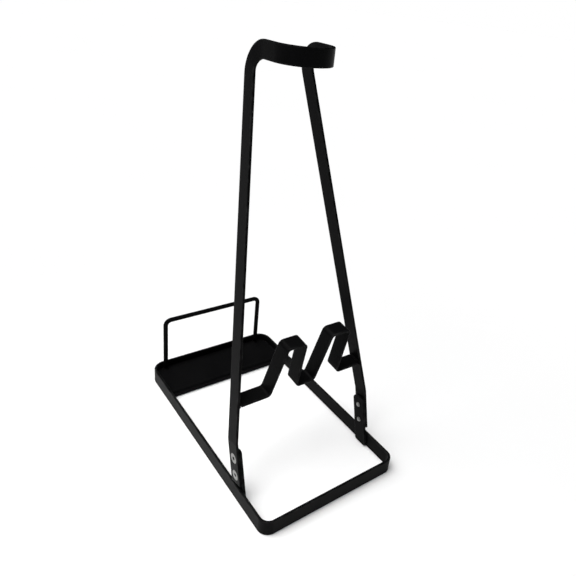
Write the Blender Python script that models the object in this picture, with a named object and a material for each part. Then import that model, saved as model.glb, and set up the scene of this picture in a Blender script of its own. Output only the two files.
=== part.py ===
"""Headphone stand bent from flat steel strap.

A closed base loop carries a sheet tray with a wire rail at the back. Two tabs inside the base loop take
four countersunk screws, which hold the arch: one strap that rises on both sides, leans back, and turns
forward at the top into a U-shaped hook. A second strap, bent into two blocks, crosses between the legs.

Metres, +Z up. -Y is the front, towards which the hook reaches. The origin is on the ground, at the middle
of the base.
"""

import math

import bmesh
import bpy
from mathutils import Matrix, Vector

# Strap, sheet and wire
STRAP_WIDTH = 0.0120
STRAP_THICKNESS = 0.0020
CRADLE_THICKNESS = 0.0018
WIRE_DIAMETER = 0.0040
FIT_GAP = 0.0003  # between two pieces that touch

# Base loop
BASE_LENGTH = 0.2000
BASE_WIDTH = 0.1195
FRONT_CORNER_RADIUS = 0.0072  # to the middle of the strap
REAR_CORNER_RADIUS = 0.0108

# Arch
LEAN = math.radians(15.54)  # backwards, both legs and tabs
LEG_FOOT_Z = 0.0145  # lower end of the leg, just above the base
LEG_Y_AT_GROUND = -0.0643
KINK_Z = 0.0460  # where the legs turn inwards
KINK_RADIUS = 0.012
HOOK_Z = 0.3012  # middle of the hook's strap
HOOK_BACK_HALF_WIDTH = 0.0206
HOOK_FRONT_HALF_WIDTH = 0.0195
HOOK_FRONT_Y = -0.0270
SHOULDER_RADIUS = 0.0127

# Tabs and screws
TAB_LENGTH = 0.0400
TAB_FOOT_Z = 0.0019
TAB_CORNER_RADIUS = 0.0028
TAB_FOOT_RADIUS = 0.0020
SCREW_Z = (0.0207, 0.0335)
SCREW_DIAMETER = 0.0039
SCREW_HOLE_DIAMETER = 0.0045
SCREW_HEAD_DIAMETER = 0.0076  # flat, countersunk at 90 degrees
SCREW_RIM = 0.00015
SCREW_SUNK = 0.0001  # how far the head's top lies below the leg's face
SOCKET_ACROSS_FLATS = 0.0025
SOCKET_DEPTH = 0.0013
SCREW_END_PAST_TAB = 0.0008

# Cradle, measured in its own plane from the underside of its outer runs
CRADLE_TILT = math.radians(6.0)  # its front edge hangs lower than its back edge
CRADLE_FRONT_Y = -0.0503
CRADLE_UNDERSIDE_Z = 0.0726
CRADLE_BLOCK_HEIGHT = 0.0386
CRADLE_BEND_RADIUS = 0.0031

# Tray
TRAY_FRONT_Y = 0.0610
TRAY_TOP_Z = 0.0062
TRAY_THICKNESS = 0.0015
TRAY_FLANGE_FOOT_Z = 0.0006
TRAY_BEND_RADIUS = 0.0018  # to the middle of the sheet

# Rail
RAIL_HALF_WIDTH = 0.0470
RAIL_TOP_Z = 0.0572
RAIL_BEND_RADIUS = 0.0050

BLACK_COAT = (0.018, 0.018, 0.019, 1.0)
ZINC = (0.62, 0.62, 0.60, 1.0)


def clear_scene():
    for obj in list(bpy.data.objects):
        bpy.data.objects.remove(obj, do_unlink=True)


def material(name, colour, metallic, roughness):
    made = bpy.data.materials.new(name)
    made.use_nodes = True
    shader = made.node_tree.nodes["Principled BSDF"]
    shader.inputs["Base Color"].default_value = colour
    shader.inputs["Metallic"].default_value = metallic
    shader.inputs["Roughness"].default_value = roughness
    made.diffuse_color = colour
    return made


def coated(name):
    return material(name, BLACK_COAT, 0.0, 0.42)


def add_object(name, mesh, its_material):
    obj = bpy.data.objects.new(name, mesh)
    bpy.context.scene.collection.objects.link(obj)
    mesh.materials.append(its_material)
    return obj


def mesh_from(name, bm):
    bmesh.ops.recalc_face_normals(bm, faces=bm.faces)
    mesh = bpy.data.meshes.new(name)
    bm.to_mesh(mesh)
    bm.free()
    return mesh


def smooth_rounds(obj, degrees=30):
    obj.data.shade_smooth()
    obj.data.set_sharp_from_angle(angle=math.radians(degrees))


def rounded_path(corners, radii, step_degrees, closed=False):
    """Points along a line through the corners, each corner turned on an arc of its own radius."""
    corners = [Vector(corner) for corner in corners]
    count = len(corners)
    points = []
    for index, corner in enumerate(corners):
        if not closed and index in (0, count - 1):
            points.append(corner)
            continue
        to_last = (corners[index - 1] - corner).normalized()
        to_next = (corners[(index + 1) % count] - corner).normalized()
        turn = math.pi - to_last.angle(to_next)
        inwards = (to_last + to_next).normalized()
        centre = corner + inwards * (radii[index] / math.cos(turn / 2))
        start = corner + to_last * (radii[index] * math.tan(turn / 2))
        arm = start - centre
        axis = to_next.cross(to_last).normalized()
        steps = max(2, round(math.degrees(turn) / step_degrees))
        for step in range(steps + 1):
            turned = Matrix.Rotation(turn * step / steps, 3, axis) @ arm
            points.append(centre + turned)
    return points


def tangents_of(points, closed):
    """The direction of the path at each point: the mean of the runs before and after it."""
    runs = [(b - a).normalized() for a, b in zip(points, points[1:])]
    if closed:
        last = (points[0] - points[-1]).normalized()
        return [(a + b).normalized() for a, b in zip([last] + runs, runs + [last])]
    return [(a + b).normalized() for a, b in zip([runs[0]] + runs, runs + [runs[-1]])]


def strap(name, points, widths, thickness, its_material, closed=False):
    """A flat strap along the points. Each width vector points across the strap at its point."""
    bm = bmesh.new()
    rings = []
    for point, along, width in zip(points, tangents_of(points, closed), widths):
        across = (width - along * width.dot(along)).normalized() * STRAP_WIDTH / 2
        out = along.cross(across).normalized() * thickness / 2
        corners = (across + out, across - out, -across - out, -across + out)
        rings.append([bm.verts.new(point + corner) for corner in corners])
    pairs = list(zip(rings, rings[1:]))
    if closed:
        pairs.append((rings[-1], rings[0]))
    else:
        bm.faces.new(rings[0])
        bm.faces.new(reversed(rings[-1]))
    for first, second in pairs:
        for side in range(4):
            after = (side + 1) % 4
            bm.faces.new((first[side], second[side], second[after], first[after]))
    obj = add_object(name, mesh_from(name, bm), its_material)
    smooth_rounds(obj)
    return obj


def extruded(name, outline, depth, its_material=None):
    """A prism: an outline in its own XY plane, raised by depth along its own +Z."""
    bm = bmesh.new()
    face = bm.faces.new([bm.verts.new((x, y, 0)) for x, y in outline])
    raised = bmesh.ops.extrude_face_region(bm, geom=[face])
    verts = [item for item in raised["geom"] if isinstance(item, bmesh.types.BMVert)]
    bmesh.ops.translate(bm, verts=verts, vec=(0, 0, depth))
    mesh = mesh_from(name, bm)
    obj = bpy.data.objects.new(name, mesh)
    bpy.context.scene.collection.objects.link(obj)
    if its_material:
        mesh.materials.append(its_material)
    return obj


def as_helper(obj):
    obj.hide_render = True
    obj.display_type = "WIRE"
    return obj


def boolean(obj, helper, operation):
    modifier = obj.modifiers.new(helper.name, "BOOLEAN")
    modifier.operation = operation
    modifier.solver = "EXACT"
    modifier.object = helper


def rounded_rectangle(width, height, radii, step_degrees=15):
    """Outline points round a rectangle about the origin; radii run from -X-Y to +X-Y, +X+Y and -X+Y."""
    x = width / 2
    y = height / 2
    corners = [(-x, -y, 0), (x, -y, 0), (x, y, 0), (-x, y, 0)]
    return [(p.x, p.y) for p in rounded_path(corners, radii, step_degrees, closed=True)]


def leg_y(z):
    return LEG_Y_AT_GROUND + z * math.tan(LEAN)


def base_frame():
    x = (BASE_WIDTH - STRAP_THICKNESS) / 2
    y = (BASE_LENGTH - STRAP_THICKNESS) / 2
    z = STRAP_WIDTH / 2
    corners = [(-x, -y, z), (x, -y, z), (x, y, z), (-x, y, z)]
    radii = (FRONT_CORNER_RADIUS, FRONT_CORNER_RADIUS, REAR_CORNER_RADIUS, REAR_CORNER_RADIUS)
    points = rounded_path(corners, radii, 7.5, closed=True)
    widths = [Vector((0, 0, 1))] * len(points)
    return strap("base_frame", points, widths, STRAP_THICKNESS, coated("base_coat"), closed=True)


def tray_plate():
    """A sheet with its front edge folded down, trimmed to the inside of the base loop."""
    middle_z = TRAY_TOP_Z - TRAY_THICKNESS / 2
    front = TRAY_FRONT_Y + TRAY_THICKNESS / 2
    back = BASE_LENGTH / 2
    fold = [(0, front, TRAY_FLANGE_FOOT_Z), (0, front, middle_z), (0, back, middle_z)]
    line = rounded_path(fold, (0, TRAY_BEND_RADIUS, 0), 15)
    half = TRAY_THICKNESS / 2
    upper = []
    lower = []
    for point, along in zip(line, tangents_of(line, False)):
        normal = Vector((0, -along.z, along.y)) * half
        upper.append(point + normal)
        lower.append(point - normal)
    outline = [(p.y, p.z) for p in upper + lower[::-1]]
    plate = extruded("tray_plate", outline, BASE_WIDTH, coated("tray_coat"))
    plate.matrix_world = Matrix(((0, 0, 1, -BASE_WIDTH / 2), (1, 0, 0, 0), (0, 1, 0, 0), (0, 0, 0, 1)))
    inset = STRAP_THICKNESS + FIT_GAP
    radius = REAR_CORNER_RADIUS - STRAP_THICKNESS / 2 - FIT_GAP
    inside = rounded_rectangle(BASE_WIDTH - 2 * inset, BASE_LENGTH - 2 * inset, (radius,) * 4, 7.5)
    trim = as_helper(extruded("tray_trim", inside, 0.04))
    trim.location.z = -0.02
    boolean(plate, trim, "INTERSECT")
    return plate


def rail_wire():
    radius = WIRE_DIAMETER / 2
    y = BASE_LENGTH / 2 - STRAP_THICKNESS - FIT_GAP - radius
    foot = TRAY_TOP_Z + FIT_GAP
    corners = [
        (-RAIL_HALF_WIDTH, y, foot),
        (-RAIL_HALF_WIDTH, y, RAIL_TOP_Z),
        (RAIL_HALF_WIDTH, y, RAIL_TOP_Z),
        (RAIL_HALF_WIDTH, y, foot),
    ]
    points = rounded_path(corners, (0, RAIL_BEND_RADIUS, RAIL_BEND_RADIUS, 0), 10)
    curve = bpy.data.curves.new("rail_wire", "CURVE")
    curve.dimensions = "3D"
    curve.bevel_depth = radius
    curve.bevel_resolution = 4
    curve.use_fill_caps = True
    spline = curve.splines.new("POLY")
    spline.points.add(len(points) - 1)
    for slot, point in zip(spline.points, points):
        slot.co = (*point, 1.0)
    return add_object("rail_wire", curve, coated("rail_coat"))


def arch_strap():
    """Legs, shoulders and hook in one strap. The shoulders bend it edgewise, every other bend is flat."""
    x = (BASE_WIDTH - STRAP_THICKNESS) / 2
    left = [
        Vector((-x, leg_y(LEG_FOOT_Z), LEG_FOOT_Z)),
        Vector((-x, leg_y(KINK_Z), KINK_Z)),
        Vector((-HOOK_BACK_HALF_WIDTH, leg_y(HOOK_Z), HOOK_Z)),
        Vector((-HOOK_FRONT_HALF_WIDTH, HOOK_FRONT_Y, HOOK_Z)),
    ]
    right = [Vector((-p.x, p.y, p.z)) for p in reversed(left)]
    turn = HOOK_FRONT_HALF_WIDTH * 0.976  # the two front corners meet in the middle of the hook
    radii = (0, KINK_RADIUS, SHOULDER_RADIUS, turn, turn, SHOULDER_RADIUS, KINK_RADIUS, 0)
    points = rounded_path(left + right, radii, 6)
    across_leg = Vector((0, math.cos(LEAN), -math.sin(LEAN)))
    shoulder = SHOULDER_RADIUS * math.tan((math.pi / 2 + LEAN) / 2)
    bend_foot = HOOK_Z - shoulder * math.cos(LEAN)
    bend_end = leg_y(HOOK_Z) - shoulder
    leg_face = (left[2] - left[1]).cross(across_leg).normalized()
    widths = []
    for point, along in zip(points, tangents_of(points, False)):
        if point.z <= bend_foot:
            widths.append(across_leg)
        elif point.y <= bend_end:
            widths.append(Vector((0, 0, 1)))
        else:
            share = (leg_y(point.z) - point.y) / (leg_y(HOOK_Z) - bend_end)
            face = leg_face.lerp(Vector((-1, 0, 0)), min(1, share))
            if point.x > 0:
                face.x = -face.x
            widths.append(face.cross(along))
    return strap("arch_strap", points, widths, STRAP_THICKNESS, coated("arch_coat"))


def cradle_strap():
    """The cross strap: an outer run, a block, a middle run, a second block and an outer run."""
    along_up = Vector((0, -math.sin(CRADLE_TILT), math.cos(CRADLE_TILT)))
    across = Vector((0, math.cos(CRADLE_TILT), math.sin(CRADLE_TILT)))
    origin = Vector((0, CRADLE_FRONT_Y, CRADLE_UNDERSIDE_Z)) + across * STRAP_WIDTH / 2
    low = CRADLE_THICKNESS / 2
    high = low + CRADLE_BLOCK_HEIGHT
    end = 0.0528
    profile = [
        (-end, low - 0.0003),
        (-0.0300, low - 0.0003),
        (-0.0202, high),
        (-0.0049, high),
        (-0.0072, low - 0.0004),
        (0.0084, low - 0.0004),
        (0.0182, high),
        (0.0344, high),
        (0.0301, low - 0.0009),
        (end, low - 0.0013),
    ]
    corners = [origin + Vector((x, 0, 0)) + along_up * up for x, up in profile]
    points = rounded_path(corners, (CRADLE_BEND_RADIUS,) * len(corners), 12)
    widths = [across] * len(points)
    return strap("cradle_strap", points, widths, CRADLE_THICKNESS, coated("cradle_coat"))


def side_name(side):
    return "left" if side < 0 else "right"


def bolt_line(side, x, z):
    """A frame whose +Z runs outwards along a screw, through the point of the leg's middle line at height z."""
    return Matrix.Translation((side * x, leg_y(z), z)) @ Matrix.Rotation(side * math.pi / 2, 4, "Y")


def tabs():
    made = []
    x = TAB_LENGTH / 2
    y = STRAP_WIDTH / 2
    level_foot = STRAP_WIDTH * math.tan(LEAN)  # keeps the foot parallel to the ground
    corners = [(-x, -y, 0), (x, -y, 0), (x, y, 0), (-x - level_foot, y, 0)]
    radii = (TAB_FOOT_RADIUS, TAB_CORNER_RADIUS, TAB_CORNER_RADIUS, TAB_FOOT_RADIUS)
    outline = [(p.x, p.y) for p in rounded_path(corners, radii, 15, closed=True)]
    inner_x = BASE_WIDTH / 2 - 2 * STRAP_THICKNESS - FIT_GAP
    middle = TAB_FOOT_Z + TAB_LENGTH / 2 * math.cos(LEAN)
    for side in (-1, 1):
        tab = extruded("tab_" + side_name(side), outline, STRAP_THICKNESS, coated("tab_coat_" + side_name(side)))
        start = inner_x if side > 0 else inner_x + STRAP_THICKNESS
        place = Matrix.Translation((side * start, leg_y(middle), middle))
        lean = Matrix.Rotation(-LEAN, 4, "X")
        stand_up = Matrix(((0, 0, 1, 0), (0, 1, 0, 0), (1, 0, 0, 0), (0, 0, 0, 1)))
        flip = Matrix.Diagonal((1, -1, 1, 1))  # keeps the frame right-handed
        tab.matrix_world = place @ lean @ stand_up @ flip
        made.append(tab)
    return made


def turned(name, profile, segments, its_material):
    """A body turned about its own Z, from (radius, z) points that start and end on the axis."""
    bm = bmesh.new()
    line = [bm.verts.new((r, 0, up)) for r, up in profile]
    edges = [bm.edges.new(pair) for pair in zip(line, line[1:])]
    bmesh.ops.spin(bm, geom=line + edges, axis=(0, 0, 1), cent=(0, 0, 0), angle=2 * math.pi, steps=segments)
    bmesh.ops.remove_doubles(bm, verts=bm.verts, dist=0.000001)
    return add_object(name, mesh_from(name, bm), its_material)


def screw_holes(arch, made_tabs):
    """Clearance holes through legs and tabs, countersunk into the legs' outer faces."""
    hole = SCREW_HOLE_DIAMETER / 2
    sink = SCREW_HEAD_DIAMETER / 2 + FIT_GAP
    profile = [(0, -0.01), (hole, -0.01), (hole, hole - sink), (sink + 0.001, 0.001), (0, 0.001)]
    for side, tab in zip((-1, 1), made_tabs):
        for number, z in enumerate(SCREW_Z, 1):
            cutter = turned(f"hole_{side_name(side)}_{number}", profile, 32, arch.data.materials[0])
            cutter.matrix_world = bolt_line(side, BASE_WIDTH / 2, z)
            as_helper(cutter)
            boolean(arch, cutter, "DIFFERENCE")
            boolean(tab, cutter, "DIFFERENCE")


def screws():
    """Countersunk screws. Each is turned about its own Z, with z = 0 on top of the head."""
    top_x = BASE_WIDTH / 2 - SCREW_SUNK
    inner_x = BASE_WIDTH / 2 - 2 * STRAP_THICKNESS - FIT_GAP
    length = top_x - inner_x + SCREW_END_PAST_TAB
    shank = SCREW_DIAMETER / 2
    head = SCREW_HEAD_DIAMETER / 2
    cone_foot = shank - head - SCREW_RIM
    profile = [(0, -length), (shank - 0.0003, -length), (shank, -length + 0.0003), (shank, cone_foot)]
    profile += [(head, -SCREW_RIM), (head, 0), (0, 0)]
    corner = SOCKET_ACROSS_FLATS / math.sqrt(3)
    hexagon = [(corner * math.cos(math.pi * k / 3), corner * math.sin(math.pi * k / 3)) for k in range(6)]
    for side in (-1, 1):
        for number, z in enumerate(SCREW_Z, 1):
            name = f"screw_{side_name(side)}_{number}"
            screw = turned(name, profile, 32, material(name + "_zinc", ZINC, 1.0, 0.3))
            screw.matrix_world = bolt_line(side, top_x, z)
            smooth_rounds(screw)
            socket = as_helper(extruded(name + "_socket", hexagon, 2 * SOCKET_DEPTH))
            socket.matrix_world = screw.matrix_world @ Matrix.Translation((0, 0, -SOCKET_DEPTH))
            boolean(screw, socket, "DIFFERENCE")


clear_scene()
base_frame()
tray_plate()
rail_wire()
cradle_strap()
the_arch = arch_strap()
the_tabs = tabs()
screw_holes(the_arch, the_tabs)
screws()
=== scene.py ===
"""Headphone stand: the looks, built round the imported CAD.

Every visible piece is a finer copy of its CAD node: the same stock along the same bends, with rounded edges,
weld beads where pieces are joined, and threaded socket screws. Metres, +Z up, and -Y is the front.
"""

import math

import bmesh
import bpy
from mathutils import Matrix, Vector


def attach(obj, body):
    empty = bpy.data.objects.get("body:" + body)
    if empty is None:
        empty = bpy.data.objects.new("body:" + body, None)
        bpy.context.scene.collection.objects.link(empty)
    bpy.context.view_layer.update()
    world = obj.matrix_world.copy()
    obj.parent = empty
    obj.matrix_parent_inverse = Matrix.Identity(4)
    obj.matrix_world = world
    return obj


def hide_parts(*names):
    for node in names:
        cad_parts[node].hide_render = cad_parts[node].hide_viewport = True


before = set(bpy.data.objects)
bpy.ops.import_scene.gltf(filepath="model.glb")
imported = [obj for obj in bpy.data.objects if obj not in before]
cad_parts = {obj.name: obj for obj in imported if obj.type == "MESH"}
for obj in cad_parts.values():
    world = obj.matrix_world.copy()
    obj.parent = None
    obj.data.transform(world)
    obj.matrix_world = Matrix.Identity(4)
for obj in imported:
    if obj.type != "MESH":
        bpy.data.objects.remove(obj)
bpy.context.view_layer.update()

# Strap, sheet and wire
STRAP_WIDTH = 0.0120
STRAP_THICKNESS = 0.0020
CRADLE_THICKNESS = 0.0018
WIRE_RADIUS = 0.0020
EDGE_RADIUS = 0.00045
ROUNDING_STEPS = 4
EDGE_FADE = 0.0007  # how far the look of an edge reaches on to the flat beside it
FIT_GAP = 0.0003
LONGEST_RUN = 0.01  # a straight is split into runs no longer than this

# Base loop
BASE_LENGTH = 0.2000
BASE_WIDTH = 0.1195
FRONT_CORNER_RADIUS = 0.0072
REAR_CORNER_RADIUS = 0.0108

# Arch
LEAN = math.radians(15.54)
LEG_FOOT_Z = 0.0145
LEG_Y_AT_GROUND = -0.0643
KINK_Z = 0.0460
KINK_RADIUS = 0.012
HOOK_Z = 0.3012
HOOK_BACK_HALF_WIDTH = 0.0206
HOOK_FRONT_HALF_WIDTH = 0.0195
HOOK_FRONT_Y = -0.0270
SHOULDER_RADIUS = 0.0127
LEG_FOOT_X = (BASE_WIDTH - STRAP_THICKNESS) / 2
LEG_SLOPE = (LEG_FOOT_X - HOOK_BACK_HALF_WIDTH) / (HOOK_Z - KINK_Z)  # inwards, above the kink

# Tabs and screws
TAB_LENGTH = 0.0400
TAB_FOOT_Z = 0.0019
TAB_CORNER_RADIUS = 0.0028
TAB_FOOT_RADIUS = 0.0020
TAB_INNER_X = BASE_WIDTH / 2 - 2 * STRAP_THICKNESS - FIT_GAP
SCREW_Z = (0.0207, 0.0335)
THREAD_RADIUS = 0.00195
THREAD_DEPTH = 0.00035
THREAD_PITCH = 0.0007
THREAD_START = 0.0022  # below the head's face, and full depth THREAD_FADE further on
THREAD_FADE = 0.0004
HOLE_RADIUS = 0.00225
HEAD_RADIUS = 0.0038
HEAD_SUNK = 0.0001  # below the leg's face
HEAD_RIM = 0.00015
SOCKET_ACROSS_FLATS = 0.0025
SOCKET_DEPTH = 0.0013
SOCKET_CHAMFER = 0.00026
SOCKET_CHAMFER_DEPTH = 0.00016
SOCKET_TIP = 0.0004
SCREW_END_PAST_TAB = 0.0008
SCREW_SPINS = (17, 43, 8, 31)  # degrees, so that no two sockets line up
SHARP_ANGLE = math.radians(35)  # edges that turn more than this stay crisp

# Cradle
CRADLE_TILT = math.radians(6.0)
CRADLE_FRONT_Y = -0.0503
CRADLE_UNDERSIDE_Z = 0.0726
CRADLE_BLOCK_HEIGHT = 0.0386
CRADLE_BEND_RADIUS = 0.0031
CRADLE_END_X = 0.0528
CRADLE_DROP_LEFT = 0.0003
CRADLE_DROP_RIGHT = 0.0013

# Tray
TRAY_FRONT_Y = 0.0610
TRAY_TOP_Z = 0.0062
TRAY_THICKNESS = 0.0015
TRAY_FLANGE_FOOT_Z = 0.0006
TRAY_BEND_RADIUS = 0.0018
TRAY_REAR_RADIUS = 0.0095

# Rail
RAIL_HALF_WIDTH = 0.0470
RAIL_Y = 0.0957
RAIL_TOP_Z = 0.0572
RAIL_BEND_RADIUS = 0.0050
RAIL_LONGEST_RUN = 0.006

# Weld beads
TAB_WELD_RADIUS = 0.0010
TAB_WELD_Z = (0.0045, 0.0114)
CRADLE_WELD_RADIUS = 0.0009
SMALL_WELD_RADIUS = 0.0008
WELD_STEP = 0.00012

# Looks
COAT_DARK = (0.0022, 0.0022, 0.0024, 1)
COAT_LIGHT = (0.0034, 0.0034, 0.0036, 1)
COAT_SPECK = (0.0110, 0.0110, 0.0114, 1)
# lighter coat on the rounded edges: partly worn coat, partly a painted highlight
COAT_WORN_EDGE_AND_HIGHLIGHT = (0.0300, 0.0300, 0.0308, 1)
ZINC_DARK = (0.16, 0.16, 0.156, 1)
ZINC_LIGHT = (0.26, 0.26, 0.253, 1)
SOCKET_SHADE = (0.02, 0.02, 0.02, 1)
PAPER_DARK = (0.912, 0.912, 0.912, 1)
PAPER_LIGHT = (0.920, 0.920, 0.920, 1)


# ---------------------------------------------------------------- geometry helpers


def rounded_path(corners, radii, step_degrees, closed=False):
    """Points along a line through the corners, each corner turned on an arc of its own radius."""
    corners = [Vector(corner) for corner in corners]
    count = len(corners)
    points = []
    for index, corner in enumerate(corners):
        if not closed and index in (0, count - 1):
            points.append(corner)
            continue
        to_last = (corners[index - 1] - corner).normalized()
        to_next = (corners[(index + 1) % count] - corner).normalized()
        turn = math.pi - to_last.angle(to_next)
        inwards = (to_last + to_next).normalized()
        centre = corner + inwards * (radii[index] / math.cos(turn / 2))
        start = corner + to_last * (radii[index] * math.tan(turn / 2))
        arm = start - centre
        axis = to_next.cross(to_last).normalized()
        steps = max(3, round(math.degrees(turn) / step_degrees))
        for step in range(steps + 1):
            points.append(centre + Matrix.Rotation(turn * step / steps, 3, axis) @ arm)
    return points


def split_long_runs(points, longest, closed=False):
    """Adds points so that no run is longer than this."""
    ends = points + points[:1] if closed else points
    finer = []
    for a, b in zip(ends, ends[1:]):
        parts = max(1, math.ceil((b - a).length / longest))
        finer += [a.lerp(b, part / parts) for part in range(parts)]
    return finer if closed else finer + [points[-1]]


def tangents_of(points, closed=False):
    runs = [(b - a).normalized() for a, b in zip(points, points[1:])]
    if closed:
        last = (points[0] - points[-1]).normalized()
        return [(a + b).normalized() for a, b in zip([last] + runs, runs + [last])]
    return [(a + b).normalized() for a, b in zip([runs[0]] + runs, runs + [runs[-1]])]


def strap_section(half_width, half_thickness, radius):
    """A rectangle with rounded corners, as (across, out, edge): edge is 0 on the flats, 1 on the rounds."""
    x = half_width - radius
    y = half_thickness - radius
    calm = max(x - EDGE_FADE, x / 2)
    points = []
    for quarter, (middle_x, middle_y) in enumerate(((x, y), (-x, y), (-x, -y), (x, -y))):
        for step in range(ROUNDING_STEPS + 1):
            angle = math.pi / 2 * (quarter + step / ROUNDING_STEPS)
            points.append((middle_x + radius * math.cos(angle), middle_y + radius * math.sin(angle), 1.0))
        sign = 1 if quarter in (0, 3) else -1
        if quarter in (0, 2):
            points += [(sign * calm, sign * half_thickness, 0.0), (-sign * calm, sign * half_thickness, 0.0)]
        else:
            points.append((sign * half_width, 0.0, 0.25))
    return points


def round_section(radius, count):
    turns = [2 * math.pi * k / count for k in range(count)]
    return [(radius * math.cos(turn), radius * math.sin(turn), 0.0) for turn in turns]


def mesh_object(name, bm):
    bmesh.ops.recalc_face_normals(bm, faces=bm.faces)
    for face in bm.faces:
        face.smooth = True
    mesh = bpy.data.meshes.new(name)
    bm.to_mesh(mesh)
    bm.free()
    obj = bpy.data.objects.new(name, mesh)
    bpy.context.scene.collection.objects.link(obj)
    return obj


def weight_normals(obj):
    """Flats stay flat next to a round edge."""
    modifier = obj.modifiers.new("normals", "WEIGHTED_NORMAL")
    modifier.weight = 80
    modifier.keep_sharp = True


def apply_modifiers(obj):
    graph = bpy.context.evaluated_depsgraph_get()
    mesh = bpy.data.meshes.new_from_object(obj.evaluated_get(graph))
    obj.modifiers.clear()
    obj.data = mesh


def bridge(bm, rings, closed=False):
    """Faces between rings of equal counts, and a cap on each end unless the last ring joins the first."""
    pairs = list(zip(rings, rings[1:]))
    if closed:
        pairs.append((rings[-1], rings[0]))
    else:
        bm.faces.new(rings[0])
        bm.faces.new(reversed(rings[-1]))
    count = len(rings[0])
    for first, second in pairs:
        for side in range(count):
            after = (side + 1) % count
            bm.faces.new((first[side], second[side], second[after], first[after]))


def swept(name, stations, closed=False):
    """A skin over rings. Each station is (point, across, out, section); every section has the same count."""
    bm = bmesh.new()
    layer = bm.verts.layers.float.new("edge")
    rings = []
    for point, across, out, section in stations:
        ring = []
        for u, v, near in section:
            vert = bm.verts.new(point + across * u + out * v)
            vert[layer] = near
            ring.append(vert)
        rings.append(ring)
    bridge(bm, rings, closed)
    obj = mesh_object(name, bm)
    weight_normals(obj)
    return obj


def strap(name, points, widths, thickness, closed=False, half_widths=None, rounded_ends=(0, -1)):
    """A flat strap with rounded edges and ends. Each width vector points across the strap at its point."""
    stations = []
    tangents = tangents_of(points, closed)
    half_widths = half_widths or [STRAP_WIDTH / 2] * len(points)
    half = thickness / 2
    radius = min(EDGE_RADIUS, half * 0.8)
    for point, along, width, half_width in zip(points, tangents, widths, half_widths):
        across = (width - along * width.dot(along)).normalized()
        out = along.cross(across).normalized()
        stations.append((point, across, out, strap_section(half_width, half, radius)))
    if not closed:
        for end in rounded_ends:
            inwards = tangents[0] if end == 0 else -tangents[-1]
            point, across, out, _ = stations[end]
            half_width = half_widths[end]
            rounding = []
            for step in range(ROUNDING_STEPS + 1):
                angle = math.pi / 2 * step / ROUNDING_STEPS
                inset = radius * 0.95 * (1 - math.sin(angle))
                section = strap_section(half_width - inset, half - inset, radius - inset)
                marked = [(u, v, 1.0) for u, v, _ in section]
                rounding.append((point + inwards * radius * (1 - math.cos(angle)), across, out, marked))
            after = strap_section(half_width, half, radius)
            rounding.append((point + inwards * (radius + EDGE_FADE), across, out, after))
            if end == 0:
                stations[0:1] = rounding
            else:
                stations[-1:] = rounding[::-1]
    return swept(name, stations, closed)


def plate(name, outline, half_thickness):
    """A flat plate with rounded edges. The outline is a function of the inset, giving its points in XY."""
    bm = bmesh.new()
    layer = bm.verts.layers.float.new("edge")
    rings = []
    radius = EDGE_RADIUS
    levels = [(half_thickness, radius + EDGE_FADE, 0.0)]
    for step in range(ROUNDING_STEPS + 1):
        angle = math.pi / 2 * step / ROUNDING_STEPS
        levels.append((half_thickness - radius * (1 - math.cos(angle)), radius * (1 - math.sin(angle)), 1.0))
    levels += [(-z, inset, near) for z, inset, near in reversed(levels)]
    for z, inset, near in levels:
        ring = []
        for x, y in outline(inset):
            vert = bm.verts.new((x, y, z))
            vert[layer] = near
            ring.append(vert)
        rings.append(ring)
    bridge(bm, rings)
    return mesh_object(name, bm)


def cut(obj, cutter):
    """Cuts the cutter's shape out of the object, and removes the cutter."""
    modifier = obj.modifiers.new(cutter.name, "BOOLEAN")
    modifier.operation = "DIFFERENCE"
    modifier.solver = "EXACT"
    modifier.object = cutter
    apply_modifiers(obj)
    bpy.data.objects.remove(cutter)


def ripple(distance, pitch, phase):
    """The height of a weld's ripples along its bead, from 0 to 1: steep on one side, like scales."""
    share = (distance / pitch + phase) % 1.0
    crest = 0.8
    if share < crest:
        return share ** 0.6
    return (1 - share) / (1 - crest) * crest ** 0.6


def weld(name, points, radius, phase, closed=False):
    """A bead of weld metal laid along the points, with rippled scales and tapered ends."""
    points = split_long_runs([Vector(p) for p in points], WELD_STEP, closed)
    tangents = tangents_of(points, closed)
    lengths = [0.0]
    for a, b in zip(points, points[1:]):
        lengths.append(lengths[-1] + (b - a).length)
    total = lengths[-1]
    stations = []
    side = tangents[0].orthogonal().normalized()
    for point, along, distance in zip(points, tangents, lengths):
        side = (side - along * side.dot(along)).normalized()
        wander = 0.06 * math.sin(distance * 2100 + phase * 7) + 0.05 * math.sin(distance * 900 + phase * 3)
        size = radius * (1 + wander) * (0.9 + 0.1 * ripple(distance, radius * 0.75, phase))
        if not closed:
            nearest_end = min(distance, total - distance)
            size *= math.sqrt(max(0.04, 1 - (1 - min(1, nearest_end / radius)) ** 2))
        stations.append((point, side, along.cross(side), round_section(size, 18)))
    return swept(name, stations, closed)


# ---------------------------------------------------------------- the straps


def leg_y(z):
    return LEG_Y_AT_GROUND + z * math.tan(LEAN)


def base_frame():
    x = LEG_FOOT_X
    y = (BASE_LENGTH - STRAP_THICKNESS) / 2
    z = STRAP_WIDTH / 2
    corners = [(-x, -y, z), (x, -y, z), (x, y, z), (-x, y, z)]
    radii = (FRONT_CORNER_RADIUS, FRONT_CORNER_RADIUS, REAR_CORNER_RADIUS, REAR_CORNER_RADIUS)
    points = rounded_path(corners, radii, 2.5, closed=True)
    points = split_long_runs(points, LONGEST_RUN, closed=True)
    return strap("base_loop", points, [Vector((0, 0, 1))] * len(points), STRAP_THICKNESS, closed=True)


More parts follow.
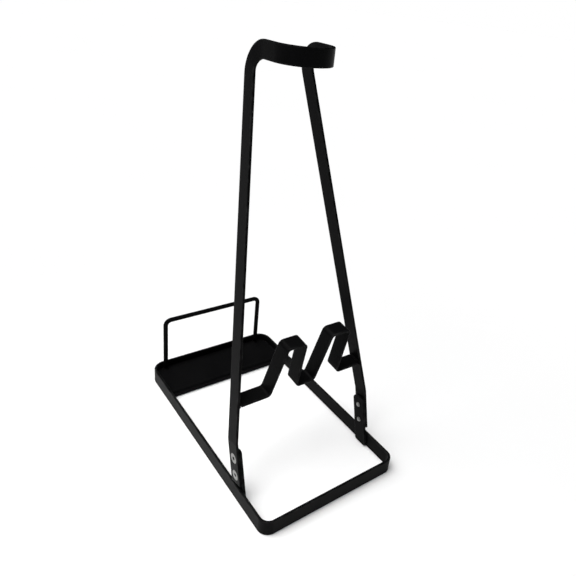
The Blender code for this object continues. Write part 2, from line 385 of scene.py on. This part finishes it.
def arch_strap():
    """Legs, shoulders and hook in one strap, whose width turns from the legs' lean to upright."""
    left = [
        Vector((-LEG_FOOT_X, leg_y(LEG_FOOT_Z), LEG_FOOT_Z)),
        Vector((-LEG_FOOT_X, leg_y(KINK_Z), KINK_Z)),
        Vector((-HOOK_BACK_HALF_WIDTH, leg_y(HOOK_Z), HOOK_Z)),
        Vector((-HOOK_FRONT_HALF_WIDTH, HOOK_FRONT_Y, HOOK_Z)),
    ]
    right = [Vector((-p.x, p.y, p.z)) for p in reversed(left)]
    turn = HOOK_FRONT_HALF_WIDTH * 0.976  # just under the half width, so that the arcs don't run together
    radii = (0, KINK_RADIUS, SHOULDER_RADIUS, turn, turn, SHOULDER_RADIUS, KINK_RADIUS, 0)
    points = split_long_runs(rounded_path(left + right, radii, 2), LONGEST_RUN)
    across_leg = Vector((0, math.cos(LEAN), -math.sin(LEAN)))
    shoulder = SHOULDER_RADIUS * math.tan((math.pi / 2 + LEAN) / 2)
    bend_foot = HOOK_Z - shoulder * math.cos(LEAN)
    bend_end = leg_y(HOOK_Z) - shoulder
    leg_face = (left[2] - left[1]).cross(across_leg).normalized()
    widths = []
    for point, along in zip(points, tangents_of(points)):
        if point.z <= bend_foot:
            widths.append(across_leg)
        elif point.y <= bend_end:
            widths.append(Vector((0, 0, 1)))
        else:
            share = (leg_y(point.z) - point.y) / (leg_y(HOOK_Z) - bend_end)
            face = leg_face.lerp(Vector((-1, 0, 0)), min(1, share))
            if point.x > 0:
                face.x = -face.x
            widths.append(face.cross(along))
    return strap("arch", points, widths, STRAP_THICKNESS)


def cradle_axes():
    along_up = Vector((0, -math.sin(CRADLE_TILT), math.cos(CRADLE_TILT)))
    across = Vector((0, math.cos(CRADLE_TILT), math.sin(CRADLE_TILT)))
    origin = Vector((0, CRADLE_FRONT_Y, CRADLE_UNDERSIDE_Z)) + across * STRAP_WIDTH / 2
    return along_up, across, origin


def cradle_strap():
    """An outer run, a block, a middle run, a second block and an outer run, as (x, height) of the bends."""
    along_up, across, origin = cradle_axes()
    low = CRADLE_THICKNESS / 2
    high = low + CRADLE_BLOCK_HEIGHT
    profile = [
        (-CRADLE_END_X, low - CRADLE_DROP_LEFT),
        (-0.0300, low - CRADLE_DROP_LEFT),
        (-0.0202, high),
        (-0.0049, high),
        (-0.0072, low - 0.0004),
        (0.0084, low - 0.0004),
        (0.0182, high),
        (0.0344, high),
        (0.0301, low - 0.0009),
        (CRADLE_END_X, low - CRADLE_DROP_RIGHT),
    ]
    corners = [origin + Vector((x, 0, 0)) + along_up * up for x, up in profile]
    points = rounded_path(corners, (CRADLE_BEND_RADIUS,) * len(corners), 3)
    points = split_long_runs(points, LONGEST_RUN)
    return strap("cradle", points, [across] * len(points), CRADLE_THICKNESS)


def tray_plate():
    """A sheet that starts as the flange in front, folds back, and narrows round the rear corners."""
    middle_z = TRAY_TOP_Z - TRAY_THICKNESS / 2
    front = TRAY_FRONT_Y + TRAY_THICKNESS / 2
    back = BASE_LENGTH / 2 - STRAP_THICKNESS - FIT_GAP
    half_width = BASE_WIDTH / 2 - STRAP_THICKNESS - FIT_GAP
    fold = [(0, front, TRAY_FLANGE_FOOT_Z), (0, front, middle_z), (0, back - TRAY_REAR_RADIUS, middle_z)]
    points = split_long_runs(rounded_path(fold, (0, TRAY_BEND_RADIUS, 0), 6), LONGEST_RUN)
    half_widths = [half_width] * len(points)
    steps = 24
    for step in range(1, steps + 1):
        angle = math.radians(88) * step / steps  # short of 90, where two rings would all but coincide
        points.append(Vector((0, back - TRAY_REAR_RADIUS * (1 - math.sin(angle)), middle_z)))
        half_widths.append(half_width - TRAY_REAR_RADIUS * (1 - math.cos(angle)))
    widths = [Vector((1, 0, 0))] * len(points)
    return strap("tray", points, widths, TRAY_THICKNESS, half_widths=half_widths, rounded_ends=(0,))


def rail_wire():
    foot = TRAY_TOP_Z + 0.0001
    corners = [
        (-RAIL_HALF_WIDTH, RAIL_Y, foot),
        (-RAIL_HALF_WIDTH, RAIL_Y, RAIL_TOP_Z),
        (RAIL_HALF_WIDTH, RAIL_Y, RAIL_TOP_Z),
        (RAIL_HALF_WIDTH, RAIL_Y, foot),
    ]
    points = rounded_path(corners, (0, RAIL_BEND_RADIUS, RAIL_BEND_RADIUS, 0), 4)
    points = split_long_runs(points, RAIL_LONGEST_RUN)
    section = round_section(WIRE_RADIUS, 28)
    out = Vector((0, 1, 0))
    stations = [(p, along.cross(out), out, section) for p, along in zip(points, tangents_of(points))]
    return swept("rail", stations)


# ---------------------------------------------------------------- tabs and screws


def side_name(side):
    return "left" if side < 0 else "right"


def tab_outline(inset):
    """The tab lies along X with its foot at -X, cut parallel to the ground."""
    x = TAB_LENGTH / 2 - inset
    y = STRAP_WIDTH / 2 - inset
    foot = -TAB_LENGTH / 2 - STRAP_WIDTH / 2 * math.tan(LEAN) + inset / math.cos(LEAN)
    slope = y * math.tan(LEAN)
    corners = [(foot + slope, -y, 0), (x, -y, 0), (x, y, 0), (foot - slope, y, 0)]
    top_radius = TAB_CORNER_RADIUS - inset
    foot_radius = TAB_FOOT_RADIUS - inset
    radii = (foot_radius, top_radius, top_radius, foot_radius)
    return [(p.x, p.y) for p in rounded_path(corners, radii, 6, closed=True)]


def lathe(name, profile, segments, radius_at=None):
    """A body turned about Z. radius_at(radius, z, angle) may change a ring's radius round the turn."""
    bm = bmesh.new()
    bm.verts.layers.float.new("edge")
    rings = []
    for r, z in profile:
        ring = []
        for k in range(segments):
            angle = 2 * math.pi * k / segments
            radius = radius_at(r, z, angle) if radius_at else r
            ring.append(bm.verts.new((radius * math.cos(angle), radius * math.sin(angle), z)))
        rings.append(ring)
    bm.faces.new(reversed(rings[0]))
    bm.faces.new(rings[-1])
    for first, second in zip(rings, rings[1:]):
        for k in range(segments):
            after = (k + 1) % segments
            bm.faces.new((first[k], first[after], second[after], second[k]))
    return mesh_object(name, bm)


def bolt_line(side, x, z):
    """A frame on a screw's axis whose +Z runs outwards from the stand."""
    return Matrix.Translation((side * x, leg_y(z), z)) @ Matrix.Rotation(side * math.pi / 2, 4, "Y")


def tab(side):
    made = plate("tab_plate_" + side_name(side), tab_outline, STRAP_THICKNESS / 2)
    middle = TAB_FOOT_Z + TAB_LENGTH / 2 * math.cos(LEAN)
    place = Matrix.Translation((side * (TAB_INNER_X + STRAP_THICKNESS / 2), leg_y(middle), middle))
    stand_up = Matrix(((0, 0, 1, 0), (0, 1, 0, 0), (1, 0, 0, 0), (0, 0, 0, 1)))
    flip = Matrix.Diagonal((1, -1, 1, 1))
    made.data.transform(place @ Matrix.Rotation(-LEAN, 4, "X") @ stand_up @ flip)
    bpy.context.view_layer.update()
    rim = THREAD_RADIUS + 0.00005
    mouth = rim + 0.0006
    tapping = [(mouth, -0.0012), (mouth, -0.0010), (rim, -0.0005), (rim, 2 * STRAP_THICKNESS)]
    for number, z in enumerate(SCREW_Z):
        cutter = lathe(f"tapping_{number}", tapping, 40)
        cutter.matrix_world = bolt_line(side, TAB_INNER_X + 0.0006, z)
        bpy.context.view_layer.update()
        cut(made, cutter)
    weight_normals(made)
    return made


def thread_radius(r, z, angle):
    """Cuts a V thread into the shank, fading out under the head."""
    share = (z / THREAD_PITCH - angle / (2 * math.pi)) % 1.0
    valley = 1 - abs(2 * share - 1)
    fade = min(1.0, max(0.0, (-THREAD_START - z) / THREAD_FADE))
    return r - THREAD_DEPTH * fade * max(0.0, valley * 1.2 - 0.1) * min(1, r / THREAD_RADIUS)


def countersink(arch):
    """Screw holes through the legs, with a cone for each head."""
    mouth = HEAD_RADIUS + 0.00012
    cone_foot = HOLE_RADIUS - mouth
    deep = -3 * STRAP_THICKNESS
    profile = [(HOLE_RADIUS, deep), (HOLE_RADIUS, cone_foot), (mouth, 0), (mouth + 0.001, 0.001)]
    for side in (-1, 1):
        for number, z in enumerate(SCREW_Z):
            cutter = lathe(f"countersink_{side_name(side)}_{number}", profile, 64)
            cutter.matrix_world = bolt_line(side, BASE_WIDTH / 2, z)
            bpy.context.view_layer.update()
            cut(arch, cutter)
    arch.data.set_sharp_from_angle(angle=SHARP_ANGLE)
    weight_normals(arch)
    return arch


def hex_socket(name, corner):
    """The socket's shape with its top face at z = 0: a chamfered hexagon that ends in a drill's tip."""
    bm = bmesh.new()
    rings = []
    for radius, up in (
        (corner + SOCKET_CHAMFER, 0.0002),
        (corner, -SOCKET_CHAMFER_DEPTH),
        (corner, -SOCKET_DEPTH),
    ):
        turns = [math.pi * k / 3 for k in range(6)]
        rings.append([bm.verts.new((radius * math.cos(turn), radius * math.sin(turn), up)) for turn in turns])
    tip = bm.verts.new((0, 0, -SOCKET_DEPTH - SOCKET_TIP))
    bm.faces.new(rings[0])
    for first, second in zip(rings, rings[1:]):
        for k in range(6):
            after = (k + 1) % 6
            bm.faces.new((first[k], second[k], second[after], first[after]))
    for k in range(6):
        bm.faces.new((rings[-1][k], tip, rings[-1][(k + 1) % 6]))
    return mesh_object(name, bm)


def screw(side, number, z):
    """Countersunk head with a hex socket, and a threaded shank whose end shows inside the tab."""
    name = f"screw_{side_name(side)}_{number}"
    top_x = BASE_WIDTH / 2 - HEAD_SUNK
    length = top_x - TAB_INNER_X + SCREW_END_PAST_TAB
    cone_foot = THREAD_RADIUS - HEAD_RADIUS - HEAD_RIM
    profile = [(THREAD_RADIUS - 0.0008, -length), (THREAD_RADIUS - 0.0004, -length + 0.00008)]
    rows = 48
    thread_foot = -length + 0.0004
    for row in range(rows + 1):
        profile.append((THREAD_RADIUS, thread_foot + (cone_foot - thread_foot) * row / rows))
    soft = 0.00004  # how far the rim's corners are broken
    profile += [(HEAD_RADIUS - soft, -HEAD_RIM - soft), (HEAD_RADIUS, -HEAD_RIM + 0.00003)]
    profile += [(HEAD_RADIUS, -2 * soft), (HEAD_RADIUS - soft, -soft / 2), (HEAD_RADIUS - 3 * soft, 0)]
    corner = SOCKET_ACROSS_FLATS / math.sqrt(3)
    profile += [(HEAD_RADIUS * 0.75, 0), (corner + 0.00045, 0)]
    head = lathe(name + "_bolt", profile, 72, thread_radius)
    cut(head, hex_socket(name + "_socket", corner))
    head.data.shade_smooth()
    head.data.set_sharp_from_angle(angle=SHARP_ANGLE)
    spin = math.radians(SCREW_SPINS[number + (1 if side > 0 else -1)])
    head.matrix_world = bolt_line(side, top_x, z) @ Matrix.Rotation(spin, 4, "Z")
    weight_normals(head)
    return head


# ---------------------------------------------------------------- materials


class Nodes:
    """Short calls for building a node tree."""

    def __init__(self, name):
        self.material = bpy.data.materials.new(name)
        self.material.use_nodes = True
        self.tree = self.material.node_tree
        self.shader = self.tree.nodes["Principled BSDF"]
        coordinates = self.tree.nodes.new("ShaderNodeTexCoord")
        self.place = coordinates.outputs["Object"]

    def link(self, source, target):
        self.tree.links.new(source, target)

    def noise(self, scale, detail, roughness=0.5):
        node = self.tree.nodes.new("ShaderNodeTexNoise")
        node.inputs["Scale"].default_value = scale
        node.inputs["Detail"].default_value = detail
        node.inputs["Roughness"].default_value = roughness
        self.link(self.place, node.inputs["Vector"])
        return node.outputs["Fac"]

    def spread(self, value, low, high, to_low=0.0, to_high=1.0):
        node = self.tree.nodes.new("ShaderNodeMapRange")
        node.inputs["From Min"].default_value = low
        node.inputs["From Max"].default_value = high
        node.inputs["To Min"].default_value = to_low
        node.inputs["To Max"].default_value = to_high
        self.link(value, node.inputs["Value"])
        return node.outputs["Result"]

    def math(self, operation, a, b):
        node = self.tree.nodes.new("ShaderNodeMath")
        node.operation = operation
        for slot, value in zip(node.inputs, (a, b)):
            if isinstance(value, (int, float)):
                slot.default_value = value
            else:
                self.link(value, slot)
        return node.outputs["Value"]

    def mix(self, share, a, b):
        node = self.tree.nodes.new("ShaderNodeMix")
        node.data_type = "RGBA"
        self.link(share, node.inputs["Factor"])
        for slot, value in zip((node.inputs["A"], node.inputs["B"]), (a, b)):
            if isinstance(value, tuple):
                slot.default_value = value
            else:
                self.link(value, slot)
        return node.outputs["Result"]

    def bump(self, height, distance, over=None):
        node = self.tree.nodes.new("ShaderNodeBump")
        node.inputs["Distance"].default_value = distance
        node.inputs["Strength"].default_value = 1.0
        self.link(height, node.inputs["Height"])
        if over:
            self.link(over, node.inputs["Normal"])
        return node.outputs["Normal"]


def powder_coat():
    """Satin black powder coat: orange peel, a finer grain, and a lighter edge where the coat is thin and
    rubbed, which is partly wear and partly a painted highlight along the rounded edges.
    """
    n = Nodes("black_coat")
    cloud = n.noise(38, 4.0, 0.6)
    speck = n.noise(2600, 2.0, 0.5)
    edge = n.tree.nodes.new("ShaderNodeAttribute")
    edge.attribute_name = "edge"
    # patchy band on the rounded edges: partly worn, thin coat and partly a painted highlight; it also lowers
    # the roughness there
    worn_and_highlit_edge = n.math("MULTIPLY", edge.outputs["Fac"], n.spread(n.noise(160, 5.0, 0.65), 0.42, 0.72))
    edge_wear_and_highlight_share = n.math("MULTIPLY", worn_and_highlit_edge, 0.55)
    body = n.mix(n.spread(cloud, 0.3, 0.7), COAT_DARK, COAT_LIGHT)
    grained = n.mix(n.spread(speck, 0.60, 0.75, 0.0, 0.35), body, COAT_SPECK)
    n.link(n.mix(edge_wear_and_highlight_share, grained, COAT_WORN_EDGE_AND_HIGHLIGHT), n.shader.inputs["Base Color"])
    rough = n.math("ADD", n.spread(cloud, 0.25, 0.75, 0.36, 0.45), n.spread(speck, 0.3, 0.7, -0.03, 0.04))
    n.link(n.math("SUBTRACT", rough, n.math("MULTIPLY", worn_and_highlit_edge, 0.08)), n.shader.inputs["Roughness"])
    peel = n.bump(n.noise(950, 2.0, 0.45), 0.00006)
    grain = n.bump(n.noise(3600, 2.0, 0.5), 0.00001, over=peel)
    n.link(grain, n.shader.inputs["Normal"])
    n.shader.inputs["Specular IOR Level"].default_value = 0.025
    return n.material


def zinc():
    """Zinc plate with turning marks round the screw's axis, a little dulling, and painted shade inside the
    socket.
    """
    n = Nodes("zinc_screws")
    cloud = n.noise(900, 4.0, 0.6)
    flattened = n.tree.nodes.new("ShaderNodeVectorMath")
    flattened.operation = "MULTIPLY"
    flattened.inputs[1].default_value = (1, 1, 0)
    n.link(n.place, flattened.inputs[0])
    from_axis = n.tree.nodes.new("ShaderNodeVectorMath")
    from_axis.operation = "LENGTH"
    n.link(flattened.outputs["Vector"], from_axis.inputs[0])
    rings = n.tree.nodes.new("ShaderNodeTexNoise")
    rings.noise_dimensions = "1D"
    rings.inputs["Scale"].default_value = 9000
    rings.inputs["Detail"].default_value = 2
    n.link(from_axis.outputs["Value"], rings.inputs["W"])
    marks = rings.outputs["Fac"]
    colour = n.mix(n.spread(cloud, 0.3, 0.7), ZINC_DARK, ZINC_LIGHT)
    depth = n.tree.nodes.new("ShaderNodeSeparateXYZ")
    n.link(n.place, depth.inputs["Vector"])
    # painted shade: the socket's walls are darkened by their depth below the head's face, in place of the
    # shadow in the recess
    sunk = n.spread(depth.outputs["Z"], -0.00004, -0.00022)
    inside = n.spread(from_axis.outputs["Value"], HEAD_RADIUS * 0.62, HEAD_RADIUS * 0.55)
    near_top = n.spread(depth.outputs["Z"], -SOCKET_DEPTH * 1.6, -SOCKET_DEPTH * 1.4)
    painted_socket_shade = n.math("MULTIPLY", n.math("MULTIPLY", sunk, inside), near_top)
    n.link(n.mix(painted_socket_shade, colour, SOCKET_SHADE), n.shader.inputs["Base Color"])
    rough = n.math("ADD", n.spread(cloud, 0.3, 0.7, 0.24, 0.36), n.spread(marks, 0.3, 0.7, -0.03, 0.05))
    n.link(rough, n.shader.inputs["Roughness"])
    n.link(n.bump(marks, 0.000008), n.shader.inputs["Normal"])
    n.shader.inputs["Metallic"].default_value = 1.0
    return n.material


# ---------------------------------------------------------------- build


coat = powder_coat()
plating = zinc()


def finish_piece(piece, its_material, node=None):
    piece.data.materials.clear()
    piece.data.materials.append(its_material)
    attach(piece, "root")
    if node:
        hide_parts(node)


finish_piece(base_frame(), coat, "base_frame")
finish_piece(tray_plate(), coat, "tray_plate")
finish_piece(rail_wire(), coat, "rail_wire")
finish_piece(countersink(arch_strap()), coat, "arch_strap")
finish_piece(cradle_strap(), coat, "cradle_strap")
for side in (-1, 1):
    finish_piece(tab(side), coat, "tab_" + side_name(side))
    for number, z in enumerate(SCREW_Z, 1):
        finish_piece(screw(side, number, z), plating, f"screw_{side_name(side)}_{number}")


def weld_tab(side):
    """A bead up each long edge of the tab's foot."""
    x = side * (LEG_FOOT_X - STRAP_THICKNESS / 2 - 0.0006)
    for edge_name, offset in (("front", -1), ("back", 1)):
        to_edge = Vector((0, math.cos(LEAN), -math.sin(LEAN))) * offset * (STRAP_WIDTH / 2 + 0.0001)
        line = []
        for z in TAB_WELD_Z:
            on_axis = z - to_edge.z
            line.append(Vector((x, leg_y(on_axis), on_axis)) + to_edge)
        bead = weld(f"weld_tab_{side_name(side)}_{edge_name}", line, TAB_WELD_RADIUS, 0.3 * offset)
        finish_piece(bead, coat)


def weld_cradle(side):
    """A bead across each face of the cross strap, against the leg."""
    along_up, across, origin = cradle_axes()
    drop = CRADLE_DROP_RIGHT if side > 0 else CRADLE_DROP_LEFT
    for face_name, up in (("top", CRADLE_THICKNESS + 0.0002), ("under", -0.0002)):
        line = []
        for share in (-0.47, 0.47):
            spot = origin + across * STRAP_WIDTH * share + along_up * (up - drop)
            x = LEG_FOOT_X - LEG_SLOPE * (spot.z - KINK_Z) - 0.0012
            line.append(Vector((side * x, spot.y, spot.z)))
        bead = weld(f"weld_cradle_{side_name(side)}_{face_name}", line, CRADLE_WELD_RADIUS, 0.2 + up * 100)
        finish_piece(bead, coat)


def weld_tray(side):
    """A bead that follows the tray's folded corner, against the side bar."""
    x = side * (LEG_FOOT_X - STRAP_THICKNESS / 2 - FIT_GAP)
    line = [
        (x, TRAY_FRONT_Y + 0.0001, 0.0026),
        (x, TRAY_FRONT_Y + 0.0004, 0.0048),
        (x, TRAY_FRONT_Y + 0.0024, TRAY_TOP_Z),
        (x, TRAY_FRONT_Y + 0.0060, TRAY_TOP_Z),
    ]
    finish_piece(weld(f"weld_tray_{side_name(side)}", line, SMALL_WELD_RADIUS, 0.6), coat)


def weld_rail(side):
    """A bead round the foot of the rail."""
    reach = WIRE_RADIUS + 0.0002
    steps = 40
    ring = []
    for k in range(steps):
        angle = 2 * math.pi * k / steps
        x = side * RAIL_HALF_WIDTH + reach * math.cos(angle)
        ring.append((x, RAIL_Y + reach * math.sin(angle), TRAY_TOP_Z))
    bead = weld(f"weld_rail_{side_name(side)}", ring, SMALL_WELD_RADIUS, 0.1, closed=True)
    finish_piece(bead, coat)


for side in (-1, 1):
    weld_tab(side)
    weld_cradle(side)
    weld_tray(side)
    weld_rail(side)


# ---------------------------------------------------------------- stage, light and camera


def light(name, data, place, target):
    obj = bpy.data.objects.new(name, data)
    bpy.context.scene.collection.objects.link(obj)
    obj.location = place
    obj.rotation_mode = "QUATERNION"
    obj.rotation_quaternion = (Vector(target) - Vector(place)).to_track_quat("-Z", "Y")
    obj.visible_camera = False
    return obj


def area_light(name, place, target, size, power, spread):
    data = bpy.data.lights.new(name, "AREA")
    data.shape = "RECTANGLE"
    data.size, data.size_y = size
    data.energy = power
    data.spread = math.radians(spread)
    return light(name, data, place, target)


def sun(name, place, strength, width):
    """Even light over the whole floor, soft because its source is this many degrees wide."""
    data = bpy.data.lights.new(name, "SUN")
    data.energy = strength
    data.angle = math.radians(width)
    return light(name, data, place, (0, 0, 0))


def floor():
    """A pale paper floor that fades into the background, just under the stand."""
    bm = bmesh.new()
    bmesh.ops.create_circle(bm, cap_ends=True, segments=96, radius=12)
    obj = mesh_object("floor", bm)
    obj.location.z = -0.0002
    n = Nodes("floor_paper")
    shade = n.mix(n.spread(n.noise(3, 3.0), 0.3, 0.7), PAPER_DARK, PAPER_LIGHT)
    n.link(shade, n.shader.inputs["Base Color"])
    n.shader.inputs["Roughness"].default_value = 0.9
    n.shader.inputs["Specular IOR Level"].default_value = 0.0
    obj.data.materials.append(n.material)


def camera():
    """Stands to the left in front of the stand, a little above the hook, and tips slightly to one side."""
    yaw, pitch, roll = 0.70246, 0.43003, -0.12931
    forward = Vector((math.sin(yaw) * math.cos(pitch), math.cos(yaw) * math.cos(pitch), -math.sin(pitch)))
    level = Vector((math.cos(yaw), -math.sin(yaw), 0))
    down = forward.cross(level)
    across = level * math.cos(roll) + down * math.sin(roll)
    below = down * math.cos(roll) - level * math.sin(roll)
    data = bpy.data.cameras.new("camera")
    data.sensor_width = 36
    data.lens = 35.261875
    data.shift_x = -0.07381944
    data.shift_y = -0.0675
    data.clip_start, data.clip_end = 0.01, 50
    obj = bpy.data.objects.new("camera", data)
    bpy.context.scene.collection.objects.link(obj)
    turned = Matrix((across, -below, -forward)).transposed().to_4x4()
    obj.matrix_world = Matrix.Translation((-0.213973, -0.312767, 0.339952)) @ turned
    bpy.context.scene.camera = obj


floor()
camera()
world = bpy.data.worlds.new("studio")
bpy.context.scene.world = world
world.use_nodes = True
world.node_tree.nodes["Background"].inputs["Color"].default_value = (1, 1, 1, 1)
world.node_tree.nodes["Background"].inputs["Strength"].default_value = 1.0
world.cycles_visibility.glossy = False
world.cycles_visibility.diffuse = False
sun("overhead", (-0.35, 0.25, 1.0), 3.75, 70)
area_light("left_softbox", (-0.30, -0.02, 0.45), (-0.20, -0.02, 0.0), (0.25, 0.45), 0.18, 50)
bpy.context.scene.view_settings.view_transform = "Standard"
